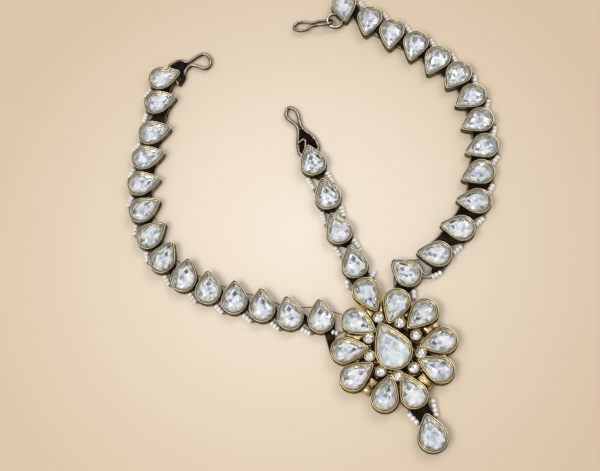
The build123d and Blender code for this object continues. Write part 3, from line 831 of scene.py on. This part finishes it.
def bead_form(centre, line, radius, length):
    """Drilled round bead: a closed ring of sections, over the outside and back through the hole."""
    line = line.normalized()
    side = line.cross(Vector((0, 0, 1))).normalized()
    up = side.cross(line)
    rings = []
    for k in range(BEAD_STEPS + 1):
        a = pi * (BEAD_MOUTH + (1 - 2 * BEAD_MOUTH) * k / BEAD_STEPS)
        along = line * (-length / 2 * cos(a) / cos(pi * BEAD_MOUTH))
        rings.append(circle(centre + along, side, up, radius * sin(a) ** BEAD_FULLNESS, BEAD_SIDES))
    for reach in (length / 2 - BEAD_MOUTH_DEPTH, -length / 2 + BEAD_MOUTH_DEPTH):
        rings.append(circle(centre + line * reach, side, up, BEAD_HOLE_RADIUS, BEAD_SIDES))
    return closed_loft(rings)


def make_beads(name, node, seed, extra):
    """Beads on each run of a CAD node; extra lengthens a run at both ends."""
    draw = random.Random(seed)
    shape = Shape()
    for start, end in tube_runs(node):
        run = end - start
        start = start - run.normalized() * extra
        run = run + run.normalized() * (2 * extra)
        line = run.normalized()
        count = max(1, round((run.length + BEAD_SPARE) / BEAD_PITCH))
        pitch = (run.length + 2 * BEAD_OVERHANG) / count
        for k in range(count):
            centre = start + line * (pitch * (k + 0.5) - BEAD_OVERHANG)
            aside = [draw.uniform(-BEAD_SHIFT, BEAD_SHIFT) for _ in range(2)]
            wobble = Vector((*aside, draw.uniform(0.0, 0.04)))
            centre.z = max(centre.z, BEAD_RADIUS)
            aside = [draw.uniform(-BEAD_LEAN, BEAD_LEAN) for _ in range(2)]
            lean = (line + Vector((*aside, 0))).normalized()
            radius = BEAD_RADIUS * draw.uniform(0.93, 1.0)
            length = pitch * draw.uniform(0.92, 0.98)
            shape.add(*bead_form(centre + wobble, lean, radius, length))
    piece = shape.piece(name, [seed_bead_material], sharp=60)
    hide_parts(node)


for row, seed, extra in (("left", 21, 0.0), ("right", 22, 0.0), ("centre", 23, 0.9), ("drop", 24, 0.4)):
    make_beads(f"{row}_seed_beads", f"{row}_beads", seed, extra)


# -------------------- thread and wire
def repaint(node, material):
    """Look of a CAD node that is shown as it is."""
    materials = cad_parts[node].data.materials
    materials.clear()
    materials.append(material)


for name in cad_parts:
    if name.endswith("_thread"):
        repaint(name, wire_thread)
repaint("right_ring", wire_bright)

LASH_RADIUS = 0.36
LASH_LOW = -2.2          # where binding thread starts on a wall, along a setting's own axis
LASH_STEP = 0.5          # distance between its turns
LASH_LEVELS = (0.8, 1.5)
WRAP_LEVELS = (0.75, 1.5)
WRAP_RADIUS = 4.9        # of thread wound round a setting's round end
AROUND_STEPS = 6
SAG_STEPS = 6
LASH_SAG = 0.25
LASH_SIDES = 7
LASH_INSET = 0.3         # how deep its ends are sunk in a cup's wall
LINK_WIRE = 0.34         # radius of the wire that links neighbouring settings
LINK_LEVEL = 2.0
LINK_STEPS = 8
LINK_INSET = 0.15        # how deep its ends are sunk
LINK_BEYOND = 0.5        # how far past the thread's last turn it lies, along a setting's own axis
LINK_PULL = 0.5          # how far its middle bends towards the round ends
LINK_SAG = 0.3


def wall_toward(place, other, y, inset=LASH_INSET):
    """Point of a cup's wall, at height y on its own axis, on the side of the other cup."""
    a = radians(place.tip - 90)
    side = 1 if (other.x - place.x) * cos(a) + (other.y - place.y) * sin(a) > 0 else -1
    outline = [(x, own) for x, own in pear(STRAND_CUP, inset, 40, 40) if x * side > 0]
    x, own = min(outline, key=lambda p: abs(p[1] - y))
    return spot(place, x, own)


def lashing(shape, start, end, level, draw):
    """One turn of binding thread, which hangs a little in its middle."""
    path = []
    for k in range(SAG_STEPS + 1):
        t = k / SAG_STEPS
        path.append((*part_way(start, end, t), level - LASH_SAG * sin(pi * t) + draw.uniform(-0.04, 0.04)))
    shape.add(*tube(path, LASH_RADIUS * draw.uniform(0.85, 1.15), LASH_SIDES))


def make_lashings(name, found, highs, seed):
    """Binding thread in the gaps between neighbouring settings, and the wires that close some of them.
    highs: for each gap, where it ends on the nearer and the farther setting's own axis, and whether a link
    wire closes it; or None where the gap is open."""
    draw = random.Random(seed)
    shape = Shape()
    links = Shape()
    for (here, there), high in zip(zip(found, found[1:]), highs):
        if not high:
            continue
        near_high, far_high, linked = high
        turns = round((max(near_high, far_high) - LASH_LOW) / LASH_STEP)
        for k in range(turns):
            t = k / (turns - 1)
            start = wall_toward(here, there, LASH_LOW + t * (near_high - LASH_LOW))
            end = wall_toward(there, here, LASH_LOW + t * (far_high - LASH_LOW))
            for level in LASH_LEVELS:
                lashing(shape, start, end, level + draw.uniform(-0.12, 0.12), draw)
        if not linked:
            continue
        start = wall_toward(here, there, near_high + LINK_BEYOND, LINK_INSET)
        end = wall_toward(there, here, far_high + LINK_BEYOND, LINK_INSET)
        bow = Vector((start[0] + end[0], start[1] + end[1], 0)) / 2
        core = Vector((here.x + there.x, here.y + there.y, 0)) / 2
        pull = (core - bow).normalized() * LINK_PULL
        path = []
        for k in range(LINK_STEPS + 1):
            x, y = part_way(start, end, k / LINK_STEPS)
            swing = sin(pi * (k / LINK_STEPS))
            path.append((x + pull.x * swing, y + pull.y * swing, LINK_LEVEL - LINK_SAG * swing))
        links.add(*tube(path, LINK_WIRE))
    piece = shape.piece(f"{name}_lashings", [thread_look])
    piece = links.piece(f"{name}_link_wires", [wire_thread])


LEFT_GAPS = [(1.2, 1.2, False)] * 6 + [(2.4, 2.0, False)] * 2
LEFT_GAPS += [(4.6, 3.6, False)] * 3 + [(5.4, 4.2, True)] * 2
RIGHT_GAPS = [None] + [(4.2, 6.0, True)] * 4 + [(3.4, 4.4, False)] * 3 + [(3.4, 3.9, False)] * 5
make_lashings("left", left_places, LEFT_GAPS, 31)
make_lashings("right", right_places, RIGHT_GAPS, 32)


# the two flat hooks: their wire's corners, as in the solids
HOOK_LEVEL = 1.1
HOOK_WIRE = 1.35
HOOK_CUT = 2.6           # how far from a corner the wire starts to bend, at most
LEFT_HOOK = [
    (-34.5, 134.5), (-31.2, 137.0), (-30.2, 139.7), (-27.6, 141.5), (-25.6, 141.2), (-21.4, 136.6),
    (-18.2, 139.4), (-19.4, 144.4), (-23.6, 143.9), (-27.6, 142.9), (-30.0, 145.6), (-35.4, 145.2),
]
CENTRE_HOOK = [
    (-2.0, 85.6), (-0.7, 91.0), (2.0, 96.4), (1.9, 99.0), (-0.8, 104.2),
    (2.2, 107.8), (4.7, 104.2), (3.5, 99.0), (3.5, 96.4), (6.4, 91.0), (6.4, 84.8),
]


def bent_path(corners):
    """Closed path in a plane that bends smoothly at each corner."""
    path = []
    for before, here, after in zip(corners[-1:] + corners[:-1], corners, corners[1:] + corners[:1]):
        ends = []
        for other in (before, after):
            span = hypot(other[0] - here[0], other[1] - here[1])
            share = min(0.48, HOOK_CUT / span)
            ends.append(part_way(here, other, share))
        for t in (0, 0.2, 0.4, 0.6, 0.8, 1):
            a, b, c = (1 - t)**2, 2 * t * (1 - t), t * t
            path.append(tuple(a * ends[0][axis] + b * here[axis] + c * ends[1][axis] for axis in (0, 1)))
    return path


def level_path(corners):
    return [(x, y, HOOK_LEVEL) for x, y in bent_path(corners)]


def make_hook(name, node, path, wire):
    shape = Shape()
    shape.add(*tube(path, wire / 2, 14, closed=True))
    piece = shape.piece(name, [wire_metal])
    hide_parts(node)


make_hook("left_hook_wire", "left_hook", level_path(LEFT_HOOK), HOOK_WIRE)
make_hook("centre_hook_wire", "centre_hook", level_path(CENTRE_HOOK), HOOK_WIRE)

# right hook: along it from its foot, and across it; it is rolled over at the ring, and less so at its eye
RIGHT_HOOK = [
    (0.0, 1.3), (1.6, 2.2), (5.4, 1.7), (8.2, 0.7), (10.6, 2.4), (14.4, 2.2), (15.6, 0.0),
    (14.4, -2.2), (10.6, -2.4), (8.2, -0.7), (5.4, -1.7), (1.6, -2.2), (0.0, -1.3),
]
RIGHT_HOOK_WIRE = 1.15
RIGHT_HOOK_FOOT = Vector((32.4, 134.6, 2.1))
RIGHT_HOOK_HEADING = 162.6
RIGHT_HOOK_ROLL = 38
EYE_ROLL = 12
EYE_DROP = 0.9           # how much lower its eye lies
TWIST = (4.0, 11.0)      # it untwists between these distances from its foot


def twisted(path):
    """Points of the right hook in the ornament, from its own."""
    a = radians(RIGHT_HOOK_HEADING)
    placed = []
    for along, across in path:
        share = float(eased(along, *TWIST))
        roll = radians(RIGHT_HOOK_ROLL + (EYE_ROLL - RIGHT_HOOK_ROLL) * share)
        line = Vector((cos(a), sin(a), 0))
        side = Vector((-sin(a) * cos(roll), cos(a) * cos(roll), sin(roll)))
        drop = Vector((0, 0, EYE_DROP * share))
        placed.append(tuple(RIGHT_HOOK_FOOT + line * along + side * across - drop))
    return placed


make_hook("right_hook_wire", "right_hook", twisted(bent_path(RIGHT_HOOK)), RIGHT_HOOK_WIRE)

# hooks' arms, from the setting to the neck, and the thread wound between them
LEFT_ARMS = ([(-31.3, 138.6), (-30.4, 139.9), (-27.9, 141.6)],
             [(-35.2, 145.0), (-30.2, 145.3), (-27.9, 143.0)])
CENTRE_ARMS = ([(-1.6, 86.6), (-0.9, 91.0), (1.8, 95.8)],
               [(6.2, 86.4), (6.2, 91.0), (3.7, 95.8)])
WOUND_RINGS = 16         # of the thicker stretch where thread covers a wire
WOUND_RADIUS = 0.85


def along_route(route, share):
    """Point at a share of the length of a route."""
    spans = [hypot(b[0] - a[0], b[1] - a[1]) for a, b in zip(route, route[1:])]
    left = share * sum(spans)
    for (a, b), span in zip(zip(route, route[1:]), spans):
        if left <= span:
            return (a[0] + (b[0] - a[0]) * left / span, a[1] + (b[1] - a[1]) * left / span)
        left -= span
    return route[-1]


def make_wraps(name, arms, turns, seed, wound=()):
    """Thread wound between two arms; wound is a stretch of wire that it also covers."""
    draw = random.Random(seed)
    shape = Shape()
    if wound:
        path = [(*along_route(wound, k / WOUND_RINGS), HOOK_LEVEL) for k in range(WOUND_RINGS + 1)]
        shape.add(*tube(path, [WOUND_RADIUS + draw.uniform(-0.1, 0.1) for _ in path]))
    for k in range(turns):
        t = k / (turns - 1)
        for level in WRAP_LEVELS:
            start = along_route(arms[0], t)
            end = along_route(arms[1], min(max(t + draw.uniform(-0.05, 0.05), 0), 1))
            lashing(shape, start, end, level, draw)
    piece = shape.piece(name, [thread_look])


def around(place, first, last):
    """Route round a setting's round end, between two of the ornament's bearings in degrees."""
    turns = [radians(first + (last - first) * k / AROUND_STEPS) for k in range(AROUND_STEPS + 1)]
    return [(place.x + WRAP_RADIUS * cos(a), place.y + WRAP_RADIUS * sin(a)) for a in turns]


def petal_at(bearing):
    return min(petal_places, key=lambda p: abs((degrees(atan2(p.y, p.x)) - bearing + 180) % 360 - 180))


def own_route(place, spots):
    return [spot(place, x, y)[:2] for x, y in spots]


make_wraps("left_hook_wraps", LEFT_ARMS, 12, 41, [(-34.2, 134.9), (-31.5, 137.0), (-30.6, 139.2)])
make_wraps("centre_hook_wraps", CENTRE_ARMS, 12, 42)
drop_top = own_route(drop_place, [(-2.5, 5.8), (0, 8.9), (2.3, 6.2)])
make_wraps("drop_wraps", (around(petal_at(-91), -130, -48), drop_top), 14, 43)
make_wraps("right_joint_wraps", (around(right_places[0], 190, 262), around(petal_at(63), 75, 22)), 9, 44)
make_wraps("left_joint_wraps", (around(left_places[0], -40, -95), around(petal_at(157), 120, 170)), 7, 45)
make_wraps("centre_joint_wraps", (around(centre_places[0], 225, 315), around(petal_at(91), 130, 50)), 8, 46)


def between(arms, share, across):
    """Point between two arms: share of the way along them, and across from the first to the second."""
    return part_way(along_route(arms[0], share), along_route(arms[1], share), across)


TIE_LEVEL = 2.1
TIE_RADIUS = 0.45
TIE_STEPS = 12
TIE_BENDS = [(0.42, 0.05), (0.52, 0.4), (0.4, 0.5), (0.05, 0.3)]


def make_tie_wire():
    """Bent end of the thread wire that crosses the centre hook's wraps."""
    bends = [between(CENTRE_ARMS, share, across) for share, across in TIE_BENDS]
    path = [(*along_route(bends, k / TIE_STEPS), TIE_LEVEL) for k in range(TIE_STEPS + 1)]
    shape = Shape()
    shape.add(*tube(path, TIE_RADIUS))
    piece = shape.piece("centre_hook_tie", [wire_metal])


make_tie_wire()

CUP_TIP = STRAND_CUP.length - STRAND_CUP.width / 2
for number, (near, far) in enumerate(zip(centre_places[1:], centre_places), 1):
    tip_x, tip_y, _ = spot(far, 0, CUP_TIP)
    toward = degrees(atan2(tip_y - near.y, tip_x - near.x))
    arms = around(near, toward - 26, toward + 26), own_route(far, [(1.5, 7.0), (0, 8.4), (-1.5, 7.0)])
    make_wraps(f"centre_gap_{number}_wraps", arms, 6, 50 + number)

GAP_LOOP_LEVEL = 1.6
GAP_LOOP_RADIUS = 0.5
# its bends, on the own axes of the right strand's first setting
GAP_LOOP_BENDS = [(6.0, 1.6), (5.3, -1.2), (4.3, -3.0), (4.4, -4.3), (5.3, -5.1), (6.6, -5.0), (7.8, -4.4)]


def make_gap_loop():
    """Bent wire that frames the open gap between the right strand's first two settings."""
    bends = own_route(right_places[0], GAP_LOOP_BENDS)
    path = []
    for start, end in zip(bends, bends[1:]):
        path += [(*part_way(start, end, t), GAP_LOOP_LEVEL) for t in (0, 0.5)]
    path.append((*bends[-1], GAP_LOOP_LEVEL))
    shape = Shape()
    shape.add(*tube(path, GAP_LOOP_RADIUS))
    piece = shape.piece("right_gap_loop", [wire_metal])


make_gap_loop()
flower_side = [(25.2, 21.6), (27.0, 21.3), (28.6, 21.6)]
make_wraps("right_gap_wraps", (around(right_places[1], 212, 262), flower_side), 9, 47)

# -------------------- floor and light
world = bpy.data.worlds.new("studio")
bpy.context.scene.world = world
world.use_nodes = True
tree = world.node_tree
tree.nodes.clear()
sky_out = tree.nodes.new("ShaderNodeOutputWorld")
background = tree.nodes.new("ShaderNodeBackground")
tree.links.new(background.outputs[0], sky_out.inputs[0])
split = tree.nodes.new("ShaderNodeSeparateXYZ")
tree.links.new(coordinates(tree, "Generated"), split.inputs[0])
sky = ramp(tree, split.outputs["Z"], [
    (0.0, (0.30, 0.27, 0.24)),
    (0.35, (0.55, 0.54, 0.53)),
    (0.75, (0.95, 0.96, 1.0)),
    (1.0, (1.0, 1.0, 1.0)),
])
tree.links.new(sky, background.inputs["Color"])
background.inputs["Strength"].default_value = 0.67


def soft_light(name, place, aim, size, power, colour):
    data = bpy.data.lights.new(name, "AREA")
    data.shape = "RECTANGLE"
    data.size, data.size_y = size
    data.energy = power
    data.color = colour
    light = add_object(name, data)
    light.location = place
    light.rotation_euler = (Vector(aim) - Vector(place)).to_track_quat("-Z", "Y").to_euler()


soft_light("key", (-0.7, -0.1, 1.1), (0, 0.05, 0), (0.8, 0.5), 7.3, (1.0, 0.99, 0.97))
soft_light("fill", (0.8, 0.5, 1.0), (0, 0.05, 0), (0.6, 0.6), 3.4, (0.97, 0.98, 1.0))

FLOOR_CENTRE = (-13.4, 58.2)
FLOOR_FADE = 130.0       # FLOOR_FADE = 130.0 # distance over which its painted pool of light darkens
FLOOR_REACH = 3.0        # metres
FLOOR_LEVEL = -0.0002    # metres; just under the ornament
floor_material, tree, shader = new_material("floor")
distance = tree.nodes.new("ShaderNodeVectorMath")
distance.operation = "DISTANCE"
distance.inputs[1].default_value = (FLOOR_CENTRE[0] * MM, FLOOR_CENTRE[1] * MM, 0)
tree.links.new(coordinates(tree), distance.inputs[0])
spread = maths(tree, "DIVIDE", distance.outputs["Value"], FLOOR_FADE * MM)
# painted pool of light: lightest round the ornament, darker further out
painted_light_pool = ramp(tree, spread, [
    (0.0, (0.93, 0.823, 0.69)),
    (0.36, (0.85, 0.74, 0.59)),
    (0.54, (0.80, 0.68, 0.525)),
    (0.74, (0.76, 0.62, 0.458)),
    (1.0, (0.705, 0.56, 0.395)),
])
tree.links.new(painted_light_pool, shader.inputs["Base Color"])
shader.inputs["Roughness"].default_value = 0.9
shader.inputs["Specular IOR Level"].default_value = 0.1
floor_mesh = bpy.data.meshes.new("floor")
floor_corners = [(x * FLOOR_REACH, y * FLOOR_REACH, 0) for x, y in ((-1, -1), (1, -1), (1, 1), (-1, 1))]
floor_mesh.from_pydata(floor_corners, [], [(0, 1, 2, 3)])
floor_mesh.materials.append(floor_material)
floor = add_object("floor", floor_mesh)
floor.location.z = FLOOR_LEVEL

bpy.context.scene.view_settings.view_transform = "Standard"
